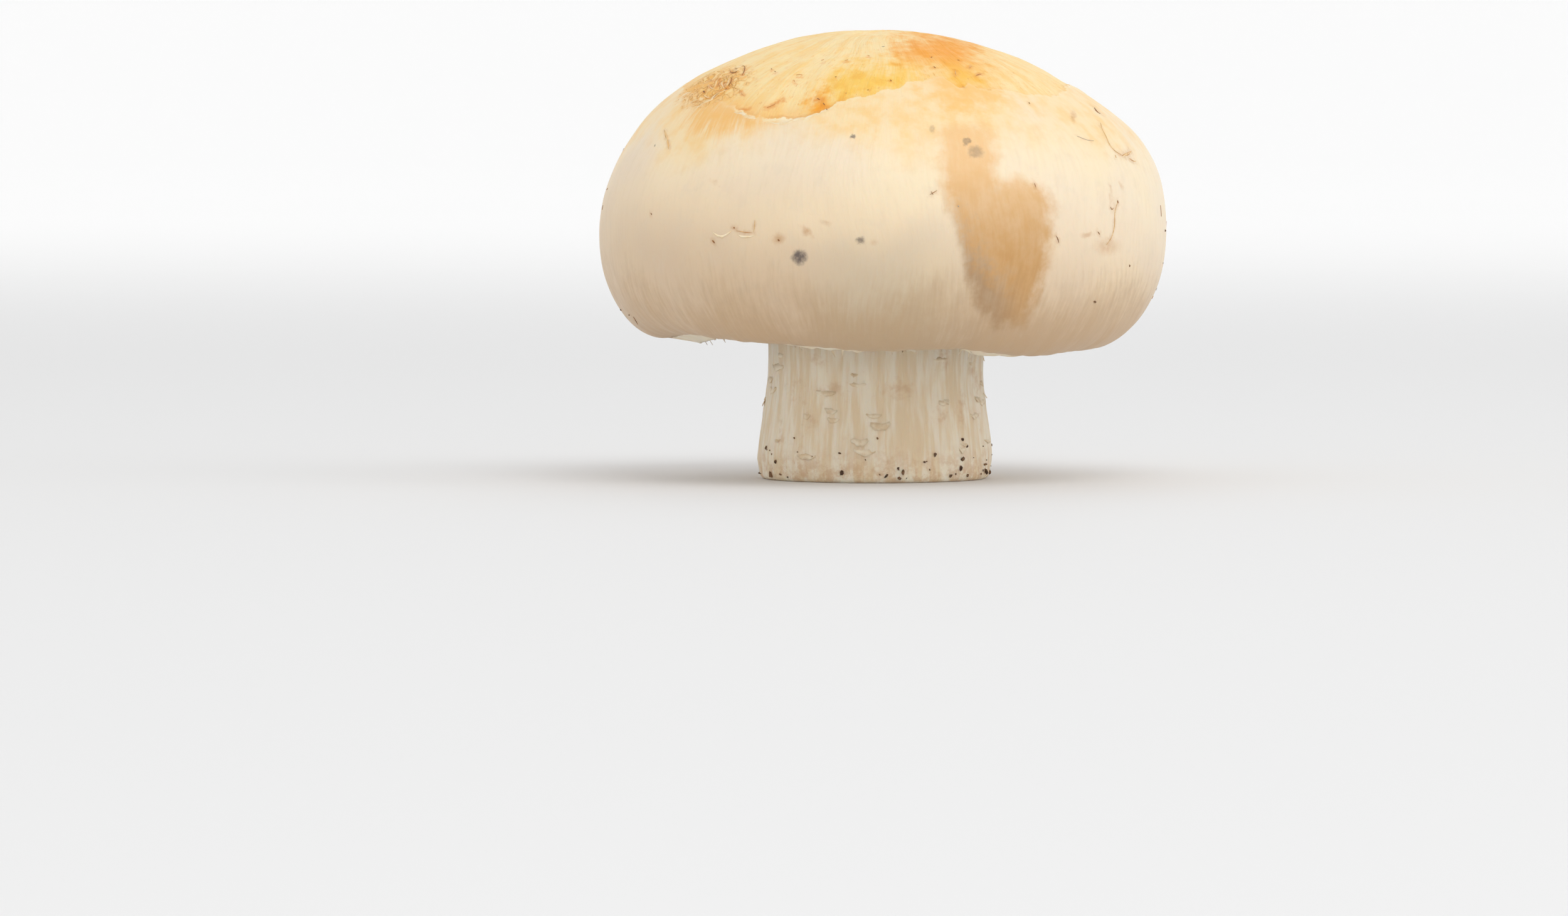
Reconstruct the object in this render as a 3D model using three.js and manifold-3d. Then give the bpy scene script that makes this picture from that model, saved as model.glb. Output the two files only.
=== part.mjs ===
// White button mushroom: a large closed-cup cap on a short stem, standing on the cut foot of its stem.
// Millimetres, +Z up. The origin is the centre of the cut, the cap is widest along X, and its front is -Y.
//
// The cap, its rolled margin, the torn veil and the stem grew as one piece, so they are one solid. The gills
// have a colour of their own and hold together on the thin bed that they hang from, clear of the flesh.
import * as THREE from 'three';
import { mergeVertices } from 'three/addons/utils/BufferGeometryUtils.js';
import Module from 'manifold-3d';

const wasm = await Module();
wasm.setup();

const { smoothstep, degToRad } = THREE.MathUtils;

// Driving dimensions

const cap = {
	radius: 28, // at the widest line
	widestHeight: 24, // above the cut foot
	domeHeight: 20.5, // from the widest line up to the crown
	marginRadius: 21.4, // where the rolled margin hangs lowest
	marginHeight: 13.6,
	narrowerInDepth: 0.03, // share by which the cap is narrower along Y
	leanDegrees: 2 // the crown leans towards +X
};

const shoulder = { height: 35, spread: 6, fullness: 1.9 }; // where the cap is fuller, towards +X

const veil = {
	rootRadius: 20.6, // where the membrane leaves the rolled margin
	edgeRadius: 17, // torn edge, on average
	thickness: 0.9,
	rise: 0.7, // of the torn edge above the lowest margin
	sag: 0.7 // of its heaviest scraps
};

const stem = {
	footRadius: 11.4,
	waistRadius: 10.5,
	waistHeight: 10,
	apexRadius: 10.9,
	apexHeight: 23.6, // where the stem starts to flare into the cap
	flare: 1.9,
	cutRounding: 0.6,
	apexShift: new THREE.Vector2( 0.5, - 0.4 ) // how far the stem has leant by its apex
};

const ring = { height: 17.2, reach: 1.3, thickness: 1 }; // scrap of veil left round the stem

const chamber = { outerRadius: 23.2, ceilingHeight: 27, rimDrop: 6.6 }; // hollow that the gills hang in

const gill = {
	count: 60, // long gills, with a short one between each two
	thickness: 0.6,
	innerRadius: 12.7, // free of the stem
	shortInnerRadius: 17.4,
	depth: 7.6,
	bedThickness: 0.9,
	clearance: 0.35 // between the bed and the flesh above it
};

const roundSegments = 72;

// Waves round the stem and cap make the growth uneven. Sizes are in mm and turns in radians.

const wave = ( size, crests, turn ) => ( { size, crests, turn } );
const capLobes = [ wave( 0.16, 3, 0.9 ), wave( 0.1, 5, 2.1 ), wave( 0.07, 7, 0.4 ) ];
const marginSwing = [ wave( 0.4, 2, 0.5 ), wave( 0.25, 5, 1.7 ), wave( 0.12, 9, 0.2 ) ];
const stemFlutes = [ wave( 0.22, 2, 1.1 ), wave( 0.14, 5, 0.3 ), wave( 0.09, 9, 2.4 ) ];
const ringTears = [ wave( 0.35, 2, 0.6 ), wave( 0.25, 7, 1.2 ), wave( 0.2, 16, 0.5 ) ];
const veilTears = [
	wave( 1, 1, 2.6 ),
	wave( 0.6, 3, 0.8 ),
	wave( 0.45, 8, 1.4 ),
	wave( 0.4, 13, 0.2 ),
	wave( 0.3, 21, 2 )
];

function sumOf( waves, angle ) {

	return waves.reduce( ( sum, { size, crests, turn } ) => sum + size * Math.sin( crests * angle + turn ), 0 );

}

// Curves of the side outline, in (distance from the axis, height)

const point = ( r, z ) => new THREE.Vector2( r, z );
const line = ( from, to ) => new THREE.LineCurve( from, to );
const bend = ( ...points ) => new THREE.SplineCurve( points );

// A quarter of an ellipse about (r, z). Its angles are anticlockwise from the direction away from the axis.
function quarter( r, z, width, height, from ) {

	return new THREE.EllipseCurve( r, z, width, height, from, from + Math.PI / 2 );

}

// The points of several curves that follow each other, each split into its number of steps.
function trace( stretches ) {

	const points = [];
	for ( const [ curve, steps ] of stretches ) {

		const found = curve.getSpacedPoints( steps );
		points.push( ...( points.length ? found.slice( 1 ) : found ) );

	}

	return points;

}

// The ceiling of the gill chamber, from the stem out to its rim, or a line that runs lower by the inset.
function ceiling( inset = 0 ) {

	const { outerRadius, ceilingHeight, rimDrop } = chamber;
	return bend(
		point( stem.apexRadius + stem.flare, ceilingHeight - 0.9 - inset ),
		point( 15.5, ceilingHeight - inset ),
		point( 19.2 - inset * 0.3, ceilingHeight - 0.9 - inset ),
		point( 22.1 - inset * 0.7, ceilingHeight - 3.4 - inset * 0.7 ),
		point( outerRadius - inset, ceilingHeight - rimDrop )
	);

}

function stemOutline() {

	const { footRadius, waistRadius, waistHeight, apexRadius, apexHeight, flare, cutRounding } = stem;
	const under = ring.height - ring.thickness / 2;
	const over = ring.height + ring.thickness / 2;
	const neck = apexRadius - 0.2;
	const cutEdge = point( footRadius - cutRounding, 0 );
	const ringRoot = point( neck, under - 0.7 );
	const ringEdge = point( neck + ring.reach, under + 0.25 );
	const ringTop = point( neck, over + 0.9 );
	const apex = point( apexRadius, apexHeight );
	const side = bend(
		point( footRadius, cutRounding ),
		point( footRadius - 0.1, 3.2 ),
		point( waistRadius, waistHeight ),
		ringRoot
	);
	const flareEnd = point( apexRadius + flare, chamber.ceilingHeight - 0.9 );
	return [
		[ line( point( 0, 0 ), cutEdge ), 1 ],
		[ quarter( cutEdge.x, cutRounding, cutRounding, cutRounding, - Math.PI / 2 ), 2 ],
		[ side, 5 ],
		[ bend( ringRoot, point( neck + ring.reach * 0.7, under - 0.25 ), ringEdge ), 2 ],
		[ bend( ringEdge, point( neck + ring.reach * 0.55, over ), ringTop ), 2 ],
		[ line( ringTop, apex ), 1 ],
		[ bend( apex, point( apexRadius + 0.6, chamber.ceilingHeight - 1.6 ), flareEnd ), 2 ]
	];

}

function capOutline() {

	const { radius, widestHeight, domeHeight, marginRadius, marginHeight } = cap;
	const edgeHeight = marginHeight + veil.rise;
	const chamberRim = point( chamber.outerRadius, chamber.ceilingHeight - chamber.rimDrop );
	const upperRoot = point( veil.rootRadius, edgeHeight + veil.thickness + 0.5 );
	const upperEdge = point( veil.edgeRadius, edgeHeight + veil.thickness / 2 );
	const lowerEdge = point( veil.edgeRadius, edgeHeight - veil.thickness / 2 );
	const lowerRoot = point( veil.rootRadius, marginHeight + 0.05 );
	const rollWidth = radius - marginRadius;
	const rollHeight = widestHeight - marginHeight;
	const underside = quarter( marginRadius, widestHeight, rollWidth, rollHeight, - Math.PI / 2 );
	return [
		[ ceiling(), 6 ],
		[ bend( chamberRim, point( 22.6, 17.6 ), upperRoot ), 3 ],
		[ line( upperRoot, upperEdge ), 2 ],
		[ line( upperEdge, lowerEdge ), 1 ],
		[ line( lowerEdge, lowerRoot ), 2 ],
		[ line( lowerRoot, point( marginRadius, marginHeight ) ), 1 ],
		[ underside, 7 ],
		[ quarter( 0, widestHeight, radius, domeHeight, 0 ), 14 ]
	];

}

// Growth turns the even shape into the uneven one. Flesh and gills both go through it, so they stay in step.

function onVeil( r, z ) {

	return z < cap.marginHeight + 2.4 && r > veil.edgeRadius - 0.01 && r < veil.rootRadius;

}

function onRing( r, z ) {

	return Math.abs( z - ring.height ) < ring.thickness / 2 + 0.8 && r < stem.apexRadius + ring.reach + 0.1;

}

function growPoint( x, y, z ) {

	const angle = Math.atan2( y, x );
	const r = Math.hypot( x, y );
	const outwards = ( r / cap.radius ) ** 2;
	const inCap = r > stem.apexRadius + 2 || z > chamber.ceilingHeight - 1;
	let grownR = r;
	let grownZ = z;

	if ( inCap ) {

		const low = 1 - smoothstep( z, cap.marginHeight, cap.widestHeight );
		const bulge = Math.exp( - ( ( ( z - shoulder.height ) / shoulder.spread ) ** 2 ) );
		const beside = ( 0.5 + 0.5 * Math.cos( angle ) ) ** 2;
		grownR += outwards * ( sumOf( capLobes, angle ) + shoulder.fullness * bulge * beside );
		grownR *= 1 - cap.narrowerInDepth * outwards * Math.sin( angle ) ** 2;
		grownZ += low * smoothstep( r, 13, 20 ) * sumOf( marginSwing, angle );

	} else {

		grownR += smoothstep( z, 0, 3 ) * ( r / stem.footRadius ) * sumOf( stemFlutes, angle );
		if ( onRing( r, z ) ) grownR += Math.max( 0, r - stem.apexRadius + 0.2 ) * 0.7 * sumOf( ringTears, angle );

	}

	if ( onVeil( r, z ) ) {

		const along = ( veil.rootRadius - r ) / ( veil.rootRadius - veil.edgeRadius );
		grownR -= along * sumOf( veilTears, angle );
		grownZ -= along * veil.sag * ( 0.5 + 0.5 * Math.sin( 6 * angle ) );

	}

	const lean = degToRad( cap.leanDegrees ) * smoothstep( z, 4, 22 );
	const shift = inCap ? 1 : smoothstep( z, 1, 22 );
	return new THREE.Vector3( grownR * Math.cos( angle ), grownR * Math.sin( angle ), grownZ - cap.widestHeight )
		.applyAxisAngle( new THREE.Vector3( 0, 1, 0 ), lean )
		.add( new THREE.Vector3( shift * stem.apexShift.x, shift * stem.apexShift.y, cap.widestHeight ) );

}

function grow( geometry ) {

	const position = geometry.getAttribute( 'position' );
	for ( let i = 0; i < position.count; i ++ ) {

		const grown = growPoint( position.getX( i ), position.getY( i ), position.getZ( i ) );
		position.setXYZ( i, grown.x, grown.y, grown.z );

	}

	geometry.computeVertexNormals();
	return geometry;

}

// Closed shapes

// Keeps only the positions, with each point shared by all the triangles that meet there.
function weld( geometry ) {

	geometry.deleteAttribute( 'normal' );
	geometry.deleteAttribute( 'uv' );
	return mergeVertices( geometry, 1e-3 );

}

function turn( outline, rounds ) {

	const geometry = new THREE.LatheGeometry( outline, rounds );
	geometry.rotateX( Math.PI / 2 ); // a lathe turns about Y, and the mushroom stands along Z
	return weld( geometry );

}

function solidFrom( geometry ) {

	return new wasm.Manifold( new wasm.Mesh( {
		numProp: 3,
		vertProperties: geometry.getAttribute( 'position' ).array,
		triVerts: new Uint32Array( geometry.index.array )
	} ) );

}

function geometryFrom( solid ) {

	const { vertProperties, triVerts } = solid.getMesh();
	const geometry = new THREE.BufferGeometry();
	geometry.setAttribute( 'position', new THREE.BufferAttribute( vertProperties, 3 ) );
	geometry.setIndex( new THREE.BufferAttribute( triVerts, 1 ) );
	return geometry;

}

// Flesh

function makeFlesh() {

	return grow( turn( trace( [ ...stemOutline(), ...capOutline() ] ), roundSegments ) );

}

// Gills

function makeBed() {

	const upper = ceiling( gill.clearance ).getSpacedPoints( 4 );
	const lower = ceiling( gill.clearance + gill.bedThickness ).getSpacedPoints( 4 );
	const outline = [ ...lower, ...upper.reverse(), lower[ 0 ].clone() ];
	return turn( outline, gill.count );

}

// One gill from the side: its root runs along the middle of the bed, and its free edge hangs below.
function gillShape( innerRadius ) {

	const middle = ceiling( gill.clearance + gill.bedThickness / 2 ).getSpacedPoints( 8 );
	const root = middle.filter( ( { x } ) => x > innerRadius );
	const inner = root[ 0 ];
	const outer = root[ root.length - 1 ];
	const freeHeight = chamber.ceilingHeight - gill.depth;
	const freeEdge = bend(
		point( outer.x - 0.6, outer.y - 0.9 ),
		point( outer.x - 2.2, freeHeight - 0.5 ),
		point( ( inner.x + outer.x ) / 2, freeHeight - 0.8 ),
		point( inner.x + 0.9, freeHeight + 0.6 ),
		point( inner.x + 0.1, inner.y - 2.6 )
	);
	return new THREE.Shape( [ ...root, ...freeEdge.getSpacedPoints( 5 ) ] );

}

function makeGill( innerRadius, angle ) {

	const options = { depth: gill.thickness, bevelEnabled: false };
	const blade = new THREE.ExtrudeGeometry( gillShape( innerRadius ), options );
	blade.translate( 0, 0, - gill.thickness / 2 );
	blade.rotateX( Math.PI / 2 );
	blade.rotateZ( angle );
	return weld( blade );

}

function makeGills() {

	let joined = solidFrom( makeBed() );
	const pitch = 2 * Math.PI / gill.count;
	for ( let i = 0; i < gill.count; i ++ ) {

		joined = joined.add( solidFrom( makeGill( gill.innerRadius, i * pitch ) ) );
		joined = joined.add( solidFrom( makeGill( gill.shortInnerRadius, ( i + 0.5 ) * pitch ) ) );

	}

	return grow( geometryFrom( joined ) );

}

// The mushroom

function part( name, geometry, color, roughness ) {

	const material = new THREE.MeshStandardMaterial( { color, roughness, metalness: 0 } );
	const mesh = new THREE.Mesh( geometry, material );
	mesh.name = name;
	return mesh;

}

const mushroom = new THREE.Group();
mushroom.add( part( 'cap_and_stem', makeFlesh(), 0xe6d2b0, 0.65 ) );
mushroom.add( part( 'gills', makeGills(), 0x9c6f60, 0.8 ) );

export default mushroom;
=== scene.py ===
import math
import random

import bmesh
import bpy
from mathutils import Euler, Matrix, Vector, geometry, noise
from mathutils.bvhtree import BVHTree


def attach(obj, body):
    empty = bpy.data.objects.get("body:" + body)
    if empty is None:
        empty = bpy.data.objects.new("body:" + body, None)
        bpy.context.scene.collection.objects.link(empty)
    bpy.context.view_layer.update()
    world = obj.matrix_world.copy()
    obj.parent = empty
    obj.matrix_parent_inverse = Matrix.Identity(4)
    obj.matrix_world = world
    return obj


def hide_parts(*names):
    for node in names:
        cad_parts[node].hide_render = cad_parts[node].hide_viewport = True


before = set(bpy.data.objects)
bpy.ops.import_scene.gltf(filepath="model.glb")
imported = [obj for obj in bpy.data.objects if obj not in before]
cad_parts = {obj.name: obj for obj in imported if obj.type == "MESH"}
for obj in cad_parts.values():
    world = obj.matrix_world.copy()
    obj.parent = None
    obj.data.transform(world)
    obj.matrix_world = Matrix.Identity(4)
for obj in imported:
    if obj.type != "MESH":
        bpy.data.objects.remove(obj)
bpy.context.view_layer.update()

# The pieces are worked out in mm, and scaled to metres as each is written.
mm = 0.001
upwards = Vector((0, 0, 1))


# Helpers for shapes

def soften(low, high, value):
    share = min(max((value - low) / (high - low), 0), 1)
    return share * share * (3 - 2 * share)


def hump(value, middle, width):
    return math.exp(-((value - middle) / width) ** 2)


def sumOf(waves, angle):
    return sum(size * math.sin(crests * angle + turn) for size, crests, turn in waves)


def grain(point, size, seed=0):
    # smooth noise from -1 to 1, with lumps of about this size in mm
    return noise.noise(Vector(point) / size + Vector((seed * 7.3, seed * 3.1, seed * 5.7)))


def mist(point, size, seed=0):
    # cloudy noise round 0.5, in lumps of this size with smaller ones in them
    return 0.5 + 0.3 * grain(point, size, seed) + 0.15 * grain(point, size / 2, seed + 0.5)


def wayAt(angle):
    # the way out from the axis at this angle
    return Vector((math.cos(angle), math.sin(angle), 0))


def facing(degrees):
    # the way out at so many degrees from the front
    return Vector((math.sin(math.radians(degrees)), -math.cos(math.radians(degrees)), 0))


def bend(*points):
    # a smooth line through the points
    points = [Vector(p) for p in points]
    found = []
    for i in range(len(points) - 1):
        before, start, end, after = (points[min(max(j, 0), len(points) - 1)] for j in range(i - 1, i + 3))
        handles = start + (end - before) / 6, end - (after - start) / 6
        found += geometry.interpolate_bezier(start, *handles, end, 13)[:-1]
    return found + [points[-1]]


def quarter(r, z, width, height, start):
    # a quarter of an ellipse, anticlockwise from the start angle
    angles = [math.radians(start + 90 * k / 60) for k in range(61)]
    return [Vector((r + width * math.cos(a), z + height * math.sin(a))) for a in angles]


def evenly(path, steps):
    # the same path in steps of even length
    runs = [0]
    for a, b in zip(path, path[1:]):
        runs.append(runs[-1] + (b - a).length)
    found = []
    i = 0
    for k in range(steps + 1):
        want = runs[-1] * k / steps
        while i < len(path) - 2 and runs[i + 1] < want:
            i += 1
        found.append(path[i].lerp(path[i + 1], (want - runs[i]) / (runs[i + 1] - runs[i])))
    return found


def lathe(bm, corners, steps, closed=False):
    # a body round the axis from a row of corners, merged at its seam and poles
    following = corners[1:] + (corners[:1] if closed else [])
    edges = [bm.edges.new(pair) for pair in zip(corners, following)]
    bmesh.ops.spin(bm, geom=corners + edges, cent=(0, 0, 0), axis=upwards, angle=math.tau, steps=steps,
                   use_merge=True)
    bmesh.ops.remove_doubles(bm, verts=bm.verts, dist=0.0005)


def addObject(name, data):
    made = bpy.data.objects.new(name, data)
    bpy.context.scene.collection.objects.link(made)
    return made


def writeMesh(name, bm, smooth=True):
    mesh = bpy.data.meshes.new(name)
    bm.to_mesh(mesh)
    bm.free()
    for face in mesh.polygons:
        face.use_smooth = smooth
    return addObject(name, mesh)


def writePiece(name, bm, materials, smooth=True):
    bmesh.ops.recalc_face_normals(bm, faces=bm.faces)
    bmesh.ops.scale(bm, vec=(mm, mm, mm), verts=bm.verts)
    piece = writeMesh(name, bm, smooth)
    for material in materials:
        piece.data.materials.append(material)
    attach(piece, "root")
    print("made", name, len(piece.data.polygons), "faces")
    return piece


# Helpers for materials

class Field:
    # what a socket gives, so that sums and products of sockets read as such
    def __init__(self, tree, socket):
        self.tree = tree
        self.socket = socket

    def __add__(self, other):
        return calc("ADD", self, other)

    def __sub__(self, other):
        return calc("SUBTRACT", self, other)

    def __rsub__(self, other):
        return calc("SUBTRACT", other, self)

    def __mul__(self, other):
        return calc("MULTIPLY", self, other)

    __rmul__ = __mul__


def tint(red, green, blue):
    # 8-bit screen colour to the linear colour that the sockets take
    parts = [c / 255 for c in (red, green, blue)]
    return [c / 12.92 if c <= 0.04045 else ((c + 0.055) / 1.055) ** 2.4 for c in parts] + [1]


def tints(**tones):
    return {name: tint(*tone) for name, tone in tones.items()}


def feed(socket, value):
    if isinstance(value, Field):
        value.tree.links.new(value.socket, socket)
    else:
        socket.default_value = value


def addNode(kind, inputs, output=0, **settings):
    # a node in the tree of the fields that feed it; inputs and outputs go by name or number
    tree = next(value.tree for value in inputs.values() if isinstance(value, Field))
    made = tree.nodes.new("ShaderNode" + kind)
    for name, value in settings.items():
        setattr(made, name, value)
    for name, value in inputs.items():
        feed(made.inputs[name], value)
    return Field(tree, made.outputs[output])


def calc(operation, *values):
    return addNode("Math", dict(enumerate(values)), operation=operation)


def vectorCalc(operation, *values):
    output = "Value" if operation == "LENGTH" else "Vector"
    return addNode("VectorMath", dict(enumerate(values)), output, operation=operation)


def ramp(value, low, high, bottom=0, top=1):
    limits = {"Value": value, "From Min": low, "From Max": high, "To Min": bottom, "To Max": top}
    return addNode("MapRange", limits, "Result", interpolation_type="SMOOTHSTEP")


def fall(value, low, high):
    return ramp(value, low, high, 1, 0)


def thinLine(value, at, width):
    # thin lines where a value passes through this level
    return fall(calc("ABSOLUTE", value - at), 0, width)


def blend(factor, under, over):
    return addNode("Mix", {0: factor, 6: under, 7: over}, 2, data_type="RGBA")


def paint(tones, colour, **shares):
    # each tone laid over the colour in turn, as far as its share says
    for name, share in shares.items():
        colour = blend(share, colour, tones[name])
    return colour


def cloud(spot, scale, detail=3, rough=0.5, output="Fac"):
    settings = {"Vector": spot, "Scale": scale, "Detail": detail, "Roughness": rough}
    return addNode("TexNoise", settings, output)


def attribute(tree, name, output="Fac"):
    made = tree.nodes.new("ShaderNodeAttribute")
    made.attribute_name = name
    return Field(tree, made.outputs[output])


def partOf(spot, axis):
    return addNode("SeparateXYZ", {0: spot}, axis)


def newGroup(name, kinds, output):
    # a new group, its inputs as fields, and its one output
    group = bpy.data.node_groups.new(name, "ShaderNodeTree")
    for socketName, kind in kinds.items():
        group.interface.new_socket(name=socketName, in_out="INPUT", socket_type="NodeSocket" + kind)
    group.interface.new_socket(name=output, in_out="OUTPUT", socket_type="NodeSocketFloat")
    entry = group.nodes.new("NodeGroupInput")
    leave = group.nodes.new("NodeGroupOutput")
    return group, [Field(group, entry.outputs[socketName]) for socketName in kinds], leave.inputs[0]


def place(group, **values):
    return addNode("Group", values, node_tree=group)


def newMaterial(name):
    # a material, and its object coordinates in mm
    material = bpy.data.materials.new(name)
    material.use_nodes = True
    tree = material.node_tree
    coords = Field(tree, tree.nodes.new("ShaderNodeTexCoord").outputs["Object"])
    return material, vectorCalc("MULTIPLY", coords, (1000, 1000, 1000))


def setShader(material, **values):
    for name, value in values.items():
        feed(material.node_tree.nodes["Principled BSDF"].inputs[name.replace("_", " ")], value)


# The even shape: the side outline of cap, veil and stem, the same as the solid's

cap = {"radius": 28, "widest": 24, "dome": 20.5, "marginRadius": 21.4, "marginHeight": 13.6,
       "narrower": 0.03, "lean": 2}
shoulder = {"height": 35, "spread": 6, "fullness": 1.9}
veil = {"root": 20.6, "edge": 17, "thick": 0.9, "rise": 0.7, "sag": 0.7}
stem = {"foot": 11.4, "waist": 10.5, "waistHeight": 10, "apex": 10.9, "apexHeight": 23.6,
        "flare": 1.9, "rounding": 0.6, "shift": (0.5, -0.4)}
ring = {"height": 17.2, "reach": 1.3, "thick": 1}
chamber = {"radius": 23.2, "ceiling": 27, "rimDrop": 6.6}

# waves round the axis: size in mm, crests, turn in radians
capLobes = [(0.16, 3, 0.9), (0.1, 5, 2.1), (0.07, 7, 0.4)]
marginSwing = [(0.4, 2, 0.5), (0.25, 5, 1.7), (0.12, 9, 0.2)]
stemFlutes = [(0.22, 2, 1.1), (0.14, 5, 0.3), (0.09, 9, 2.4)]
ringTears = [(0.35, 2, 0.6), (0.25, 7, 1.2), (0.2, 16, 0.5)]
veilTears = [(1, 1, 2.6), (0.6, 3, 0.8), (0.45, 8, 1.4), (0.4, 13, 0.2), (0.3, 21, 2)]


def ceilingLine(inset=0):
    r, z = chamber["radius"], chamber["ceiling"]
    return bend((stem["apex"] + stem["flare"], z - 0.9 - inset), (15.5, z - inset),
                (19.2 - inset * 0.3, z - 0.9 - inset), (22.1 - inset * 0.7, z - 3.4 - inset * 0.7),
                (r - inset, z - chamber["rimDrop"]))


def fleshStretches():
    # (stretch, path, steps) from the middle of the cut foot out, up and over to the pole
    under, over = ring["height"] - ring["thick"] / 2, ring["height"] + ring["thick"] / 2
    neck = stem["apex"] - 0.2
    cutEdge = stem["foot"] - stem["rounding"]
    ringRoot, ringTop = (neck, under - 0.7), (neck, over + 0.9)
    ringEdge = (neck + ring["reach"], under + 0.25)
    apex = (stem["apex"], stem["apexHeight"])
    flareEnd = (stem["apex"] + stem["flare"], chamber["ceiling"] - 0.9)
    edge = cap["marginHeight"] + veil["rise"]
    upperRoot = (veil["root"], edge + veil["thick"] + 0.5)
    lowerRoot = (veil["root"], cap["marginHeight"] + 0.05)
    upperEdge = (veil["edge"], edge + veil["thick"] / 2)
    lowerEdge = (veil["edge"], edge - veil["thick"] / 2)
    roll = cap["radius"] - cap["marginRadius"], cap["widest"] - cap["marginHeight"]
    chamberRim = (chamber["radius"], chamber["ceiling"] - chamber["rimDrop"])
    return [
        ("foot", bend((0, 0), (cutEdge, 0)), 14),
        ("foot", quarter(cutEdge, stem["rounding"], stem["rounding"], stem["rounding"], -90), 4),
        ("stem", bend((stem["foot"], stem["rounding"]), (stem["foot"] - 0.1, 3.2),
                      (stem["waist"], stem["waistHeight"]), ringRoot), 34),
        ("ring", bend(ringRoot, (neck + ring["reach"] * 0.7, under - 0.25), ringEdge), 5),
        ("ring", bend(ringEdge, (neck + ring["reach"] * 0.55, over), ringTop), 5),
        ("stem", bend(ringTop, apex), 8),
        ("stem", bend(apex, (stem["apex"] + 0.6, chamber["ceiling"] - 1.6), flareEnd), 4),
        ("chamber", ceilingLine(), 8),
        ("chamber", bend(chamberRim, (22.6, 17.6), upperRoot), 5),
        ("veil", bend(upperRoot, upperEdge), 8),
        ("veil", bend(upperEdge, lowerEdge), 2),
        ("veil", bend(lowerEdge, lowerRoot), 10),
        ("roll", bend(lowerRoot, (cap["marginRadius"], cap["marginHeight"])), 2),
        ("roll", quarter(cap["marginRadius"], cap["widest"], *roll, -90), 34),
        ("dome", quarter(0, cap["widest"], cap["radius"], cap["dome"], 0), 100),
    ]


def grow(point):
    # even shape to uneven one, for flesh and gills alike
    x, y, z = point
    angle, r = math.atan2(y, x), math.hypot(x, y)
    outwards = (r / cap["radius"]) ** 2
    inCap = r > stem["apex"] + 2 or z > chamber["ceiling"] - 1
    grownR, grownZ = r, z
    if inCap:
        low = 1 - soften(cap["marginHeight"], cap["widest"], z)
        beside = (0.5 + 0.5 * math.cos(angle)) ** 2
        fuller = shoulder["fullness"] * hump(z, shoulder["height"], shoulder["spread"]) * beside
        grownR += outwards * (sumOf(capLobes, angle) + fuller)
        grownR *= 1 - cap["narrower"] * outwards * math.sin(angle) ** 2
        grownZ += low * soften(13, 20, r) * sumOf(marginSwing, angle)
    else:
        grownR += soften(0, 3, z) * r / stem["foot"] * sumOf(stemFlutes, angle)
        onRing = abs(z - ring["height"]) < ring["thick"] / 2 + 0.8
        if onRing and r < stem["apex"] + ring["reach"] + 0.1:
            grownR += max(0, r - stem["apex"] + 0.2) * 0.7 * sumOf(ringTears, angle)
    if z < cap["marginHeight"] + 2.4 and veil["edge"] - 0.01 < r < veil["root"]:
        along = (veil["root"] - r) / (veil["root"] - veil["edge"])
        grownR -= along * sumOf(veilTears, angle)
        grownZ -= along * veil["sag"] * (0.5 + 0.5 * math.sin(6 * angle))
    lean = Matrix.Rotation(math.radians(cap["lean"]) * soften(4, 22, z), 3, "Y")
    shift = 1 if inCap else soften(1, 22, z)
    grown = lean @ Vector((grownR * math.cos(angle), grownR * math.sin(angle), grownZ - cap["widest"]))
    return grown + Vector((shift * stem["shift"][0], shift * stem["shift"][1], cap["widest"]))


# Camera, light and floor

view = {"distance": 900, "lens": 208, "raised": 2.5, "aim": (-8.98, 0, 2.0), "capMiddle": 0.74}
viewTilt = math.radians(view["raised"])
viewAim = Vector(view["aim"])
viewAhead = Vector((0, math.cos(viewTilt), -math.sin(viewTilt)))
viewUp = Vector((0, math.sin(viewTilt), math.cos(viewTilt)))
eye = viewAim - viewAhead * view["distance"]

# metres, but for the wall's glow, which grows between two distances in mm; lights: watts, size, place
studio = {"floorRadius": 1.9, "sweep": 0.9, "floorTone": 0.84, "wallGlow": 0.3, "glowFrom": 300,
          "glowTo": 1600, "key": (4, 0.8, (0.25, -0.7, 1.1)), "side": (1.5, 0.7, (0.95, -0.35, 0.7)),
          "back": (1, 0.7, (0.1, 0.95, 0.8)), "lightsAimAt": (0, 0, 0.025), "skyTone": 0.69}


def makeCamera():
    camera = addObject("camera", bpy.data.cameras.new("camera"))
    camera.location = eye * mm
    camera.rotation_euler = Euler((math.pi / 2 - viewTilt, 0, 0))
    camera.data.lens = view["lens"]
    camera.data.clip_start, camera.data.clip_end = 0.05, 8
    bpy.context.scene.camera = camera


def makeFloor():
    bm = bmesh.new()
    sweep = quarter(studio["floorRadius"], studio["sweep"], studio["sweep"], studio["sweep"], -90)
    lathe(bm, [bm.verts.new((p.x, 0, p.y)) for p in [Vector((0, 0))] + evenly(sweep, 12)], 96)
    bmesh.ops.recalc_face_normals(bm, faces=bm.faces)
    bmesh.ops.reverse_faces(bm, faces=bm.faces)
    floor = writeMesh("studioFloor", bm)
    material, spot = newMaterial("pale floor")
    far = ramp(vectorCalc("LENGTH", spot), studio["glowFrom"], studio["glowTo"])
    setShader(material, Base_Color=[studio["floorTone"]] * 3 + [1], Roughness=0.8,
              Emission_Strength=studio["wallGlow"], Emission_Color=blend(far, (0, 0, 0, 1), (1, 1, 1, 1)))
    floor.data.materials.append(material)


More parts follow.
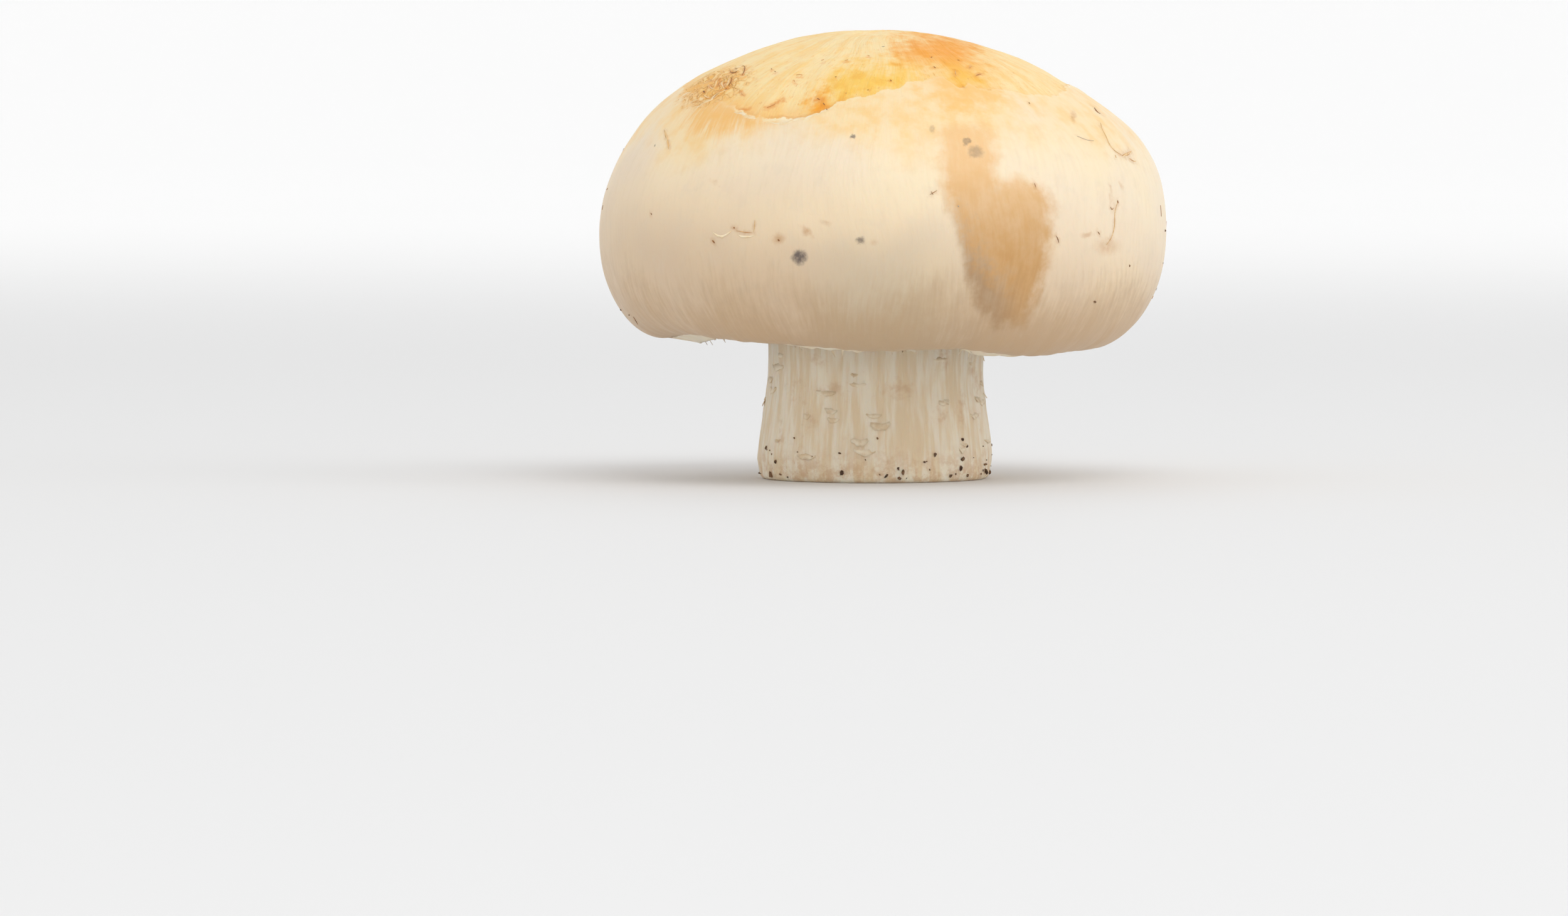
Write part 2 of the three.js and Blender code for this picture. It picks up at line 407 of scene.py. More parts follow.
def makeLights():
    for name in ("key", "side", "back"):
        power, size, spot = studio[name]
        lamp = addObject(name + "Light", bpy.data.lights.new(name + "Light", "AREA"))
        lamp.data.energy, lamp.data.size = power, size
        lamp.location = spot
        aim = Vector(studio["lightsAimAt"]) - Vector(spot)
        lamp.rotation_euler = aim.to_track_quat("-Z", "Y").to_euler()
    world = bpy.data.worlds.new("softSky")
    world.use_nodes = True
    world.node_tree.nodes["Background"].inputs["Color"].default_value = [studio["skyTone"]] * 3 + [1]
    bpy.context.scene.world = world
    bpy.context.scene.view_settings.view_transform = "Standard"


makeCamera()
makeFloor()
makeLights()
print("camera, light and floor set")


# Shader groups that several materials share

def makeStreakGroup():
    # streaks that run out from the axis: noise stretched along the way out
    kinds = {"Around": "Vector", "Along": "Float", "Across": "Float", "Stretch": "Float", "Detail": "Float"}
    group, (around, along, across, stretch, detail), streaks = newGroup("radial streaks", kinds, "Streaks")
    outwards = addNode("CombineXYZ", {"Z": along * stretch})
    sideways = addNode("VectorMath", {0: around, "Scale": across}, operation="SCALE")
    feed(streaks, cloud(vectorCalc("ADD", sideways, outwards), 1, detail, 0.55))
    return group


def makeSpeckGroup():
    # scattered specks: the middles of random cells, of which only a share is filled
    kinds = {"Place": "Vector", "Spacing": "Float", "Size": "Float", "Share": "Float"}
    group, (spot, spacing, size, filled), mask = newGroup("specks", kinds, "Mask")
    distance = addNode("TexVoronoi", {"Vector": spot, "Scale": calc("DIVIDE", 1, spacing)}, "Distance")
    chances = Field(group, distance.socket.node.outputs["Color"])
    first, second = (addNode("SeparateColor", {0: chances}, part) for part in ("Red", "Green"))
    reach = calc("DIVIDE", distance * spacing, size * (second + 0.35))
    feed(mask, calc("LESS_THAN", first, filled) * fall(reach, 0.5, 1.1))
    return group


def makeMarkGroup():
    # one soft mark on the front, from its middle and half sizes; full as far out as Solid, from 0 to 1
    kinds = {"Place": "Vector", "Middle": "Vector", "Size": "Vector", "Solid": "Float"}
    group, (spot, middle, size, solid), mask = newGroup("soft mark", kinds, "Mask")
    offset = vectorCalc("DIVIDE", vectorCalc("SUBTRACT", spot, middle), size)
    reach = vectorCalc("LENGTH", vectorCalc("MULTIPLY", offset, (1, 0, 1)))
    feed(mask, calc("LESS_THAN", partOf(spot, "Y"), 0) * fall(reach, solid, 1.3))
    return group


streakGroup = makeStreakGroup()
speckGroup = makeSpeckGroup()
markGroup = makeMarkGroup()
print("shader groups made")


# What the cap's skin carries, in mm. On the front, x and z are given as the camera sees them: x to the
# right of the cap's middle, z up from the cut foot. On the back they are the frame's own.

crown = {
    # torn edge of the crown skin: degrees from the front, radius, how far the skin curls up there
    "edge": [
        (-180, 20.8, 0.5), (-150, 19.2, 0.1), (-120, 21.5, 0.8), (-95, 20, 0.2), (-70, 20.8, 0.1),
        (-52, 21.6, 0.1), (-48.5, 21.8, 0.1), (-43.5, 22.2, 0.2), (-39.5, 22.6, 1), (-35, 22.9, 0.7),
        (-33, 22.9, 0), (-30.5, 23.1, 0.8), (-25.5, 23.1, 1), (-22, 22.7, 1), (-18, 22.4, 1),
        (-16, 22, 0.8), (-13.5, 21.3, 0.5), (-10, 20.9, 0.3), (-4, 20.3, 0.15), (0, 19.6, 0.1),
        (7, 18.4, 0.1), (12, 17.8, 0.1), (17, 17.3, 0.1), (21.5, 19, 0.2), (23, 18.9, 0.1),
        (25, 18.1, 0.1), (28, 18.9, 0.2), (31.5, 19.1, 0.2), (52, 19.8, 0.1), (80, 18.2, 0.6),
        (110, 20.6, 0.9), (145, 18.9, 0.2), (180, 20.8, 0.5)],
    # spans are distances from the torn edge, positive on the bare crown
    "step": 0.18, "stepSpan": (-0.15, 0.35), "lip": 0.13, "lipMiddle": -0.35, "lipSpread": 0.4,
    "steepness": 1.25, "outside": -60, "streaksFrom": (1, 10), "overlap": 7,
}

markings = {
    "stain": {
        "front": [[(6.2, 34.6), (6, 30.9), (6.5, 28.6), (7.5, 25.6), (8.3, 22.6), (8.5, 19.8), (9.4, 17.5),
            (11.5, 15), (14, 15.6), (15.2, 18), (16.3, 20.8), (16.7, 23.3), (16.6, 27.1), (15.4, 29),
            (13.6, 29.8), (12, 29.3), (11.3, 30.4), (11.4, 32.2), (10.9, 34), (9.6, 34.9)]],
        "back": [[(-12, 33), (-9, 32.5), (-8.2, 27), (-6.5, 22), (-7, 15), (-13, 15), (-14.5, 21),
            (-13.4, 27)]]},
    "yellow": {
        "front": [[(-4.9, 40.2), (-4, 41), (0.9, 41), (3.1, 40.8), (3.9, 39.5), (2.7, 38.6), (0.5, 38),
            (-4.4, 37.2), (-7.3, 35.8), (-7.7, 36.6), (-6.5, 37.4), (-5.1, 38.4)]],
        "back": [[(-3, 41), (4, 41.5), (9, 40), (10, 38), (3, 37), (-2, 38)]]},
    "orange": {
        "front": [[(1.4, 42.6), (3.4, 43.6), (6, 43.9), (9.2, 43.1), (8.8, 41.9), (9.8, 40.2), (10.1, 39.3),
            (8.5, 38.8), (7.3, 38.8), (6.4, 40), (5.6, 40.8), (4.2, 41.4), (2.6, 41.7)],
            [(-7.3, 36.9), (-6.6, 37.4), (-5.6, 37.2), (-5.3, 36.8), (-6.1, 36.2), (-7.1, 35.9)]],
        "back": [[(5, 40.6), (8, 40.2), (8.6, 38.9), (5.6, 38.6)]]},
    "blush": {
        "front": [[(-30, 33), (-20.3, 33.4), (-15.3, 34.2), (-11.9, 33.8), (-6.6, 33.5), (-0.4, 33.6),
            (5.9, 33.2), (9.6, 34), (12.7, 34.9), (16, 35.6), (19, 35), (30, 33), (30, 50), (-30, 50)]],
        "back": [[(-30, 33), (-14, 34.6), (0, 33.2), (13, 35), (30, 33), (30, 50), (-30, 50)]]},
}

# soft regions in the frame's own x, y and z: middle and half sizes; 1 in the middle, 0 at the edge
regions = {
    "combed": [((-14, -16, 36.4), (8.5, 9, 3.6))],
    "crazed": [((-16.1, -10.5, 39.1), (5.8, 8, 3.4)), ((9, 17, 38), (5, 6, 3.1))],
}

# x, z, half width, half height, strength
slateSpots = [
    (8.4, 33.5, 0.42, 0.4, 0.6), (9.35, 32.4, 0.74, 0.64, 0.4), (5, 34.65, 0.34, 0.38, 0.3),
    (-2.9, 34, 0.26, 0.22, 0.75), (-2.1, 23.6, 0.5, 0.46, 0.75), (-8.2, 22, 0.74, 0.76, 0.92)]
rustSpots = [
    (-10.3, 23.8, 0.8, 0.6, 0.42), (-7.4, 24.5, 0.5, 0.4, 0.4), (-14.65, 24.9, 0.36, 0.3, 0.4),
    (19, 35.9, 0.36, 0.66, 0.55), (-5.6, 25.4, 0.6, 0.26, 0.3), (22.4, 23, 1.5, 0.9, 0.4),
    (20.4, 24.2, 0.7, 0.3, 0.45), (-0.8, 23.4, 0.45, 0.3, 0.25), (-6.2, 37.6, 0.8, 0.4, 0.5)]

# scratches and dark slivers by material: half width, points; a smear is only a colour
slivers = {
    "fibre": [
        (0.08, (-15.1, 40.5), (-14.95, 40.3), (-14.6, 40.3), (-14.4, 40.4)),
        (0.08, (-13.8, 40.98), (-13.6, 40.85), (-13.7, 40.4), (-13.9, 40)),
        (0.08, (-14.9, 39.8), (-15, 39.4), (-15.2, 39)), (0.09, (-17.75, 38.5), (-17.6, 38.3)),
        (0.07, (-15.4, 38.68), (-16.4, 38.08), (-16.9, 37.63), (-18.1, 37.08)),
        (0.07, (-11, 40.7), (-10.9, 40.62)), (0.07, (-10.65, 40.45), (-10.55, 40.35)),
        (0.1, (-6.45, 37.75), (-6.15, 37.6)), (0.09, (-5.85, 37.3), (-5.65, 37.05)),
        (0.08, (-5.55, 36.68), (-5.4, 36.62)), (0.07, (-4.65, 39.85), (-4.5, 39.88)),
        (0.07, (-1.45, 38.55), (-1.3, 38.6)), (0.1, (0.85, 39.55), (0.98, 39.45)),
        (0.07, (4.85, 41.8), (5, 41.85)), (0.1, (5.15, 40.9), (5.35, 40.75)),
        (0.08, (7.5, 41.55), (7.7, 41.5)), (0.08, (14.6, 37.35), (14.7, 37.2)),
        (0.24, (21.1, 36.8), (21.4, 36.4), (21.7, 36.2)), (0.13, (23.4, 27.6), (23.48, 27.3)),
        (0.07, (22.7, 26.95), (22.85, 26.7), (23, 26.85)), (0.08, (21.45, 24.5), (21.65, 24.2)),
        (0.06, (15.15, 29.3), (15.3, 28.9)), (0.08, (17.3, 24.1), (17.5, 23.7), (17.55, 23.4)),
        (0.05, (4.75, 28.15), (5.5, 28.6)), (0.04, (4.9, 28.5), (5.1, 28.15)),
        (0.08, (-22.95, 26.35), (-22.85, 26.15)), (0.14, (-16.85, 23.65), (-16.6, 23.35)),
        (0.12, (-14.72, 24.95), (-14.62, 24.8)), (0.13, (-10.35, 23.72), (-10.15, 23.55))],
    "rust": [
        (0.09, (-15.7, 39.3), (-15.6, 38.95), (-15.45, 38.7)),
        (0.08, (-16.15, 39.6), (-16.25, 39.1), (-16.4, 38.9)), (0.06, (-17, 39.1), (-16.97, 38.8)),
        (0.06, (-18.85, 37.3), (-18.15, 37.5)), (0.07, (-14, 38.45), (-13.9, 38.2), (-13.7, 38)),
        (0.09, (-11.4, 36.8), (-10.85, 37.05), (-10.25, 37.4)), (0.08, (-8.75, 39.55), (-8.65, 39.4)),
        (0.04, (-8.5, 40.05), (-8.15, 40.1), (-7.9, 40.05)), (0.07, (-6, 41.5), (-5.75, 41.6)),
        (0.08, (-3.7, 41.5), (-3.35, 41.55)), (0.06, (-1.4, 42), (-1.2, 41.95)),
        (0.09, (7.3, 40.5), (7.32, 40.25), (7.3, 40.1)), (0.07, (8, 38.95), (8.2, 38.8)),
        (0.09, (8.65, 40.75), (8.9, 40.95)), (0.12, (9.3, 39.95), (9.6, 40.1), (9.9, 40.15)),
        (0.22, (23.85, 32.05), (24.4, 32.2), (24.8, 32.5)), (0.07, (24.6, 31.75), (25, 31.5), (25.3, 31.5)),
        (0.045, (-14.5, 24.6), (-13.65, 24.45), (-12.85, 24.4))],
    "tan": [
        (0.08, (-21.6, 34.6), (-21.5, 34), (-21.25, 33.5), (-21.2, 32.7)),
        (0.09, (21.7, 35.3), (21.9, 34.65), (22.25, 34), (22.6, 33.2), (23.1, 32.56), (23.8, 32.1)),
        (0.12, (23.2, 32.1), (23.25, 31.8)),
        (0.09, (23.4, 27.4), (23.15, 26.4), (23.1, 25), (22.8, 23.9), (22.3, 23.2)),
        (0.05, (-12.6, 25.6), (-12.65, 25), (-12.75, 24.45))],
    "slate": [
        (0.07, (19.4, 33.97), (20.4, 33.6), (21.05, 33.5)), (0.12, (7.55, 27.1), (7.65, 26.95))],
    "smear": [
        (0.07, (-17.25, 39.4), (-16.5, 39.6), (-16, 39.75)),
        (0.07, (-16.5, 38.2), (-16.2, 38.5), (-15.9, 38.6)), (0.06, (-13.9, 36.6), (-13.1, 36.7)),
        (0.13, (-11.45, 36.75), (-10.8, 37.1), (-9.85, 37.7)),
        (0.05, (22.75, 29), (22.7, 28.2), (22.8, 27.5)), (0.08, (23.7, 29.25), (23.8, 28.95)),
        (0.07, (-16.65, 29.5), (-16.5, 29.3)), (0.07, (-7.8, 24.9), (-7.5, 24.4), (-7.06, 24.2))],
}
scars = {"reach": 0.32, "widths": 2.6, "nearby": 7, "groove": 0.03,
         "sore": {"fibre": 0.8, "rust": 0.85, "tan": 0.7, "slate": 0.5, "smear": 0.95}}


def onSkin(tree, x, z):
    # place and normal of the skin on the front that the camera sees at x, z
    target = viewAim + Vector((x + view["capMiddle"] - viewAim.x, 0, 0)) + viewUp * (z - viewAim.z)
    return tree.ray_cast(eye, (target - eye).normalized())[:2]


def asSeen(point):
    # where on the front the camera sees a point
    offset = point - viewAim
    scale = view["distance"] / (view["distance"] + offset.dot(viewAhead))
    return viewAim.x + offset.x * scale - view["capMiddle"], viewAim.z + offset.dot(viewUp) * scale


def torn(degrees):
    # radius of the torn edge, and how far the skin curls up there
    points = crown["edge"]
    for (a, lowRadius, lowCurl), (b, highRadius, highCurl) in zip(points, points[1:]):
        if a <= degrees <= b:
            along = soften(a, b, degrees)
            return lowRadius + (highRadius - lowRadius) * along, lowCurl + (highCurl - lowCurl) * along


def insideOutline(outline, x, z):
    # distance to the outline, positive inside it
    nearest, inside = math.inf, False
    for (ax, az), (bx, bz) in zip(outline, outline[1:] + outline[:1]):
        runX, runZ = bx - ax, bz - az
        along = min(max(((x - ax) * runX + (z - az) * runZ) / (runX ** 2 + runZ ** 2), 0), 1)
        nearest = min(nearest, math.hypot(ax + along * runX - x, az + along * runZ - z))
        if (az > z) != (bz > z) and x < ax + (z - az) * runX / runZ:
            inside = not inside
    return nearest if inside else -nearest


def markShare(sides, point):
    # distance inside a marking's outlines; behind the axis the front's pass softly into the back's
    behind = soften(0, crown["overlap"], point.y)
    found = 0
    for side, weight, spot in (("front", 1 - behind, asSeen(point)), ("back", behind, (point.x, point.z))):
        if weight:
            found += weight * max(insideOutline(outline, *spot) for outline in sides[side])
    return found


def scarShare(point, scratches):
    # how sore the skin is beside a sliver: most on it, 0 a little way off
    found = 0
    for tone, halfWidth, places in scratches:
        if (places[0] - point).length > scars["nearby"]:
            continue
        reach = scars["reach"] + scars["widths"] * halfWidth
        for a, b in zip(places, places[1:]):
            along = min(max((point - a).dot(b - a) / (b - a).length_squared, 0), 1)
            found = max(found, scars["sore"][tone] * (1 - (point - a.lerp(b, along)).length / reach))
    return found


def regionShare(region, point):
    found = 0
    for middle, size in region:
        offset = [(p - m) / s for p, m, s in zip(point, middle, size)]
        found = max(found, 1 - math.hypot(*offset))
    return found


# Cap, veil and stem, one grown body

flesh = {"rounds": 400, "lumps": 0.2, "smallLumps": 0.08, "fibres": 0.045, "crumples": 0.15,
         "stemRidges": 0.2, "stemScales": 0.18, "veilFray": 0.45, "veilWaves": 0.25, "veilGrain": 0.08,
         "puckers": 0.14, "puckersBelow": (14, 21)}
stretches = {"foot": 0, "stem": 1, "ring": 2, "chamber": 3, "veil": 4, "roll": 5, "dome": 6}
fieldNames = ["tear", "curl", "scar", "mottle", "broad", *markings, *regions]
pole = grow((0, 0, cap["widest"] + cap["dome"]))


def domeRelief(spot, spread, tear, curl, crazed):
    height = flesh["lumps"] * grain(spot, 9) + flesh["smallLumps"] * grain(spot, 3.5, 1)
    inside = soften(*crown["stepSpan"], tear)
    uneven = 0.75 + 0.5 * grain(spread * 8, 1, 2)
    height -= crown["step"] * uneven * inside * (0.35 + 0.65 * curl)
    height += crown["lip"] * curl * uneven * hump(tear, crown["lipMiddle"], crown["lipSpread"])
    fibre = grain(spread * 26 + upwards * tear * 0.3, 1, 3)
    fibre += 0.6 * grain(spread * 55 + upwards * tear * 0.5, 1, 4)
    height += flesh["fibres"] * fibre * inside
    crumple = 1 - 2 * abs(grain(spread * 11 + upwards * tear * 0.5, 1, 5))
    return height + flesh["crumples"] * soften(0, 0.6, crazed) * crumple


def capField(spot, arc, onDome, scratches):
    # what the skin carries at one point of the cap, the way out from the pole, and the relief
    spread = wayAt(math.atan2(spot.y, spot.x))
    fromPole = spot - pole
    r = math.hypot(fromPole.x, fromPole.y)
    radius, curl = torn(math.degrees(math.atan2(fromPole.x, -fromPole.y)))
    radius += 0.35 * grain(spread * 14, 1, 6) + 0.15 * grain(spread * 34, 1, 7)
    drift = 1.2 * noise.noise_vector(spot * 0.12)
    around = Vector((fromPole.x + drift.x, fromPole.y + drift.y, 0)).normalized()
    outwards = soften(*crown["streaksFrom"], arc)
    streak = mist(around * 15 + upwards * arc * 0.13, 1, 16)
    found = {"tear": (radius - r) * crown["steepness"] if onDome else crown["outside"], "curl": curl,
             "broad": streak * outwards + mist(spot, 2.4, 18) * (1 - outwards),
             "mottle": mist(spot, 7.5, 17), "scar": scarShare(spot, scratches)}
    for name, sides in markings.items():
        found[name] = markShare(sides, spot)
    for name, region in regions.items():
        found[name] = regionShare(region, spot)
    height = domeRelief(spot, spread, found["tear"], curl, found["crazed"])
    margin = 1 - soften(*flesh["puckersBelow"], spot.z)
    height += margin * flesh["puckers"] * grain(spread * 16 + upwards * spot.z * 0.12, 1, 8)
    height -= scars["groove"] * soften(0, 1, found["scar"])
    return found, around, height


def veilMove(spot):
    # frays the torn edge of the veil, and waves it up and down
    x, y, z = spot
    spread = Vector((x, y, 0)).normalized()
    fray = soften(veil["root"] + 0.3, veil["edge"] + 0.5, math.hypot(x, y))
    frayed = grain(spread * 30, 1, 9) + 0.6 * grain(spread * 70, 1, 10)
    wave = flesh["veilWaves"] * fray * grain(spread * 22, 1, 11)
    return upwards * wave - spread * fray * flesh["veilFray"] * frayed


def stemRelief(spot):
    x, y, z = spot
    spread = Vector((x, y, 0)).normalized()
    ridges = grain(spread * 5 + upwards * z * 0.06, 1, 13)
    ridges += 0.45 * grain(spread * 15 + upwards * z * 0.12, 1, 14)
    scales = max(0, grain((x * 1.6, y * 1.6, z * 0.7), 1.4, 15) - 0.25)
    return soften(0, 2, z) * (flesh["stemRidges"] * ridges + flesh["stemScales"] * scales)


def makeFlesh():
    bm = bmesh.new()
    stretchLayer = bm.verts.layers.float.new("stretch")
    arcLayer = bm.verts.layers.float.new("arc")
    points = []
    for name, path, steps in fleshStretches():
        points += [(name, p) for p in evenly(path, steps)[(1 if points else 0):]]
    arc = 0
    corners = []
    for name, p in reversed(points):
        corner = bm.verts.new((p.x, 0, p.y))
        corner[stretchLayer] = stretches[name]
        if corners:
            arc += (corner.co - corners[-1].co).length
        corner[arcLayer] = arc
        corners.append(corner)
    lathe(bm, corners, flesh["rounds"])
    layers = {name: bm.verts.layers.float.new(name) for name in fieldNames}
    aroundLayer = bm.verts.layers.float_vector.new("around")
    for v in bm.verts:
        v.co = grow(v.co)
    bmesh.ops.recalc_face_normals(bm, faces=bm.faces)
    bm.normal_update()
    even = BVHTree.FromBMesh(bm)
    scratches = []
    for tone, marks in slivers.items():
        scratches += [(tone, halfWidth, [onSkin(even, *p)[0] for p in run]) for halfWidth, *run in marks]
    moves = {}
    for v in bm.verts:
        stretch = round(v[stretchLayer])
        height, move = 0, Vector()
        if stretch >= stretches["roll"]:
            onDome = stretch == stretches["dome"]
            found, v[aroundLayer], height = capField(v.co, v[arcLayer], onDome, scratches)
            for name, value in found.items():
                v[layers[name]] = value
        elif stretch == stretches["veil"]:
            move = veilMove(v.co)
            height = flesh["veilGrain"] * grain((v.co.x, v.co.y, 0), 0.9, 12)
        elif stretch in (stretches["stem"], stretches["ring"]):
            height = stemRelief(v.co)
        moves[v] = move + v.normal * height
    for v, move in moves.items():
        v.co += move
        if v.co.z < 0 or round(v[stretchLayer]) == 0 and v.co.z < 0.001:
            v.co.z = 0
    for face in bm.faces:
        # 0 is the skin, 1 the stem and all under the cap, 2 the cut
        stretch = max(round(v[stretchLayer]) for v in face.verts)
        face.material_index = 0 if stretch >= stretches["roll"] else 1
        if stretch == 0 and face.calc_center_median().z <= 0.02:
            face.material_index = 2
    bmesh.ops.recalc_face_normals(bm, faces=bm.faces)
    tree = BVHTree.FromBMesh(bm)
    piece = writePiece("fruit_body", bm, [])
    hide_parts("cap_and_stem")
    return tree, piece


# Gills

gills = {"count": 480, "thick": 0.19, "edgeShare": 0.45, "long": 12.7, "middle": 14.2, "short": 17.8,
         "depth": 7.6, "clearance": 0.35, "bed": 0.9, "bedRounds": 240, "sway": 0.012, "along": 8,
         "down": 3}


def gillBlade(innerRadius):
    # one gill in the XZ plane, from its root in the bed to its thinner free edge
    middle = evenly(ceilingLine(gills["clearance"] + gills["bed"] / 2), 60)
    root = evenly([p for p in middle if p.x > innerRadius], gills["along"])
    inner, outer = root[0], root[-1]
    freeHeight = chamber["ceiling"] - gills["depth"]
    free = evenly(bend((inner.x + 0.1, inner.y - 2.6), (inner.x + 0.9, freeHeight + 0.6),
                       ((inner.x + outer.x) / 2, freeHeight - 0.8), (outer.x - 2.2, freeHeight - 0.5),
                       (outer.x - 0.6, outer.y - 0.9)), gills["along"])
    bm = bmesh.new()
    downLayer = bm.verts.layers.float.new("down")
    bmesh.ops.create_grid(bm, x_segments=gills["along"], y_segments=gills["down"], size=0.5)
    for v in bm.verts:
        column, down = round((v.co.x + 0.5) * gills["along"]), v.co.y + 0.5
        spot = root[column].lerp(free[column], down)
        v.co = (spot.x, 0, spot.y)
        v[downLayer] = down
    bm.normal_update()
    bmesh.ops.solidify(bm, geom=list(bm.faces), thickness=gills["thick"])
    nearSide = min(v.co.y for v in bm.verts)
    for v in bm.verts:
        v.co.y = (v.co.y - nearSide - gills["thick"] / 2) * (1 - (1 - gills["edgeShare"]) * v[downLayer])
    bm.verts.layers.float.remove(downLayer)
    blade = bpy.data.meshes.new("blade")
    bm.to_mesh(blade)
    bm.free()
    return blade


def makeGills(material):
    # long and short gills in turn, on the thin bed that they hang from
    kinds = ["long", "short", "middle", "short"]
    blades = {kind: gillBlade(gills[kind]) for kind in sorted(set(kinds))}
    bm = bmesh.new()
    upper = evenly(ceilingLine(gills["clearance"]), 10)
    lower = evenly(ceilingLine(gills["clearance"] + gills["bed"]), 10)
    corners = [bm.verts.new((p.x, 0, p.y)) for p in lower + upper[::-1]]
    lathe(bm, corners, gills["bedRounds"], closed=True)
    for i in range(gills["count"]):
        fresh = len(bm.verts)
        bm.from_mesh(blades[kinds[i % len(kinds)]])
        bm.verts.ensure_lookup_table()
        angle = math.tau * i / gills["count"]
        for v in bm.verts[fresh:]:
            sway = gills["sway"] * grain((math.cos(angle) * 9, math.sin(angle) * 9, v.co.x * 0.3), 1, 21)
            v.co = Matrix.Rotation(angle + sway, 3, "Z") @ v.co
    for mesh in blades.values():
        bpy.data.meshes.remove(mesh)
    for v in bm.verts:
        v.co = grow(v.co)
    piece = writePiece("gill_blades", bm, [material])
    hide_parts("gills")


# Torn and curled skin, dark fibres, crumbs of peat and veil threads, all lying on the flesh

# curled skin: material, width, lift, points
peels = [
    ("gold", 0.4, 0.18, (-13.9, 40.75), (-14.35, 40.5), (-14.9, 40.42)),
    ("gold", 0.18, 0.12, (-15.4, 38.6), (-16.4, 38), (-16.9, 37.55), (-18.2, 37)),
    ("gold", 0.16, 0.1, (-15.1, 39.8), (-15.15, 39.4), (-15.35, 39)),
    ("gold", 0.15, 0.1, (-15.85, 39.45), (-15.75, 39), (-15.6, 38.75)),
    ("gold", 0.16, 0.1, (-16.3, 39.6), (-16.4, 39.15), (-16.6, 38.85)),
    ("gold", 0.14, 0.09, (-17.15, 39.15), (-17.15, 38.75)),
    ("gold", 0.15, 0.1, (-18.2, 37.6), (-18.9, 37.35)),
    ("cream", 0.2, 0.1, (24.9, 32.3), (24.3, 32), (23.9, 31.9)),
    ("gold", 0.2, 0.12, (-21.25, 32.8), (-21.4, 33.5), (-21.6, 34.5)),
    ("cream", 0.26, 0.05, (-14.3, 24.25), (-13.45, 24.15), (-12.75, 24.2)),
    ("cream", 0.3, 0.06, (-16.8, 24.55), (-15.95, 24.2), (-15, 24.65)),
    ("gold", 0.14, 0.09, (-17.2, 39.15), (-16.8, 38.75), (-16.5, 38.65)),
    ("gold", 0.14, 0.09, (-17.65, 38.1), (-17.2, 37.85), (-16.75, 37.9)),
    ("gold", 0.13, 0.08, (-18.95, 37.4), (-18.45, 37.15), (-17.9, 37.2))
]
lips = {"runs": ((-41, -33.6), (-30.8, -15.2), (-126, -112), (98, 118), (171, 184)), "stepsADegree": 1.6,
        "width": 0.26, "lift": 0.08}
loose = {"seed": 11, "stepsARun": 5, "sheet": 0.03, "peelSheet": 0.06, "sliverRise": 0.02,
         "sliverRoot": -0.01, "peelRoot": -0.07}

# pairs are the ends that values are drawn between; degrees are from the front
scattered = {"count": 34, "degrees": (75, 285), "height": (15.5, 33), "turn": (0, math.pi),
             "length": (0.3, 1.4), "halfWidth": (0.05, 0.12), "degreesAMm": 2.1}
stemScales = {"count": 80, "degrees": (0, 360), "height": (2.5, 15.8), "span": (2, 6),
              "waver": (-0.12, 0.12), "reach": 14.5, "width": (0.3, 0.8), "lift": (0.08, 0.25)}
threads = {"count": 46, "unevenly": (-0.4, 0.4), "inside": 0.25, "length": (0.5, 1.7),
           "drift": (-0.5, 0.5), "halfWidth": (0.1, 0.24)}
crumbs = {"onFoot": 80, "lowest": 0.4, "rise": 4, "footSize": 0.28, "onCap": 16, "degrees": (50, 310),
          "height": (15, 27), "capSize": 0.2, "squash": ((0.7, 1.7), (0.6, 1.3), (0.5, 1)),
          "dents": (0.55, 1.25)}


def fromAxis(degrees, z, reach=80):
    # place and normal of the flesh met on the way in to the axis; a short reach starts under the cap
    return fleshTree.ray_cast(facing(degrees) * reach + upwards * z, -facing(degrees))[:2]


def alongSkin(points):
    # places and normals in short steps along a run of points on the front
    return [onSkin(fleshTree, *p) for p in evenly(bend(*points), loose["stepsARun"] * (len(points) - 1))]


def layStrip(bm, spots, shape, thickness, index=0):
    # a thin strip along places with normals; shape(along, across) gives how far out and how high it is
    steps = len(spots) - 1
    sheet = bmesh.ops.create_grid(bm, x_segments=steps, y_segments=2, size=0.5)["verts"]
    faces = {face for v in sheet for face in v.link_faces}
    for v in sheet:
        i, across = round((v.co.x + 0.5) * steps), round(v.co.y * 2)
        spot, normal = spots[i]
        ahead = spots[min(i + 1, steps)][0] - spots[max(i - 1, 0)][0]
        out, high = shape((i + 0.15) / (steps + 0.3), across)
        v.co = spot + ahead.cross(normal).normalized() * out + normal * high
    for face in faces:
        face.material_index = index
    top = bmesh.ops.extrude_face_region(bm, geom=list(faces))["geom"]
    lift = sum((normal for spot, normal in spots), Vector()).normalized() * thickness
    bmesh.ops.translate(bm, vec=lift, verts=[v for v in top if isinstance(v, bmesh.types.BMVert)])


def sliverShape(halfWidth):
    def shape(along, across):
        taper = 0.6 * math.sin(math.pi * along)
        return across * halfWidth * taper, loose["sliverRoot" if across else "sliverRise"]
    return shape


def peelShape(width, lift, seed):
    # one side rooted in the skin, the other curled up and ragged
    def shape(along, across):
        taper = math.sin(math.pi * along) ** 0.4
        ragged = 1 + 0.5 * grain((along * 9, seed, 0), 1, 31)
        reach = (across + 1) / 2
        return width * reach * taper * ragged, loose["peelRoot"] + lift * reach ** 1.6 * taper * ragged
    return shape


def drawn(draw, ends, *names):
    return [draw.uniform(*ends[name]) for name in names]


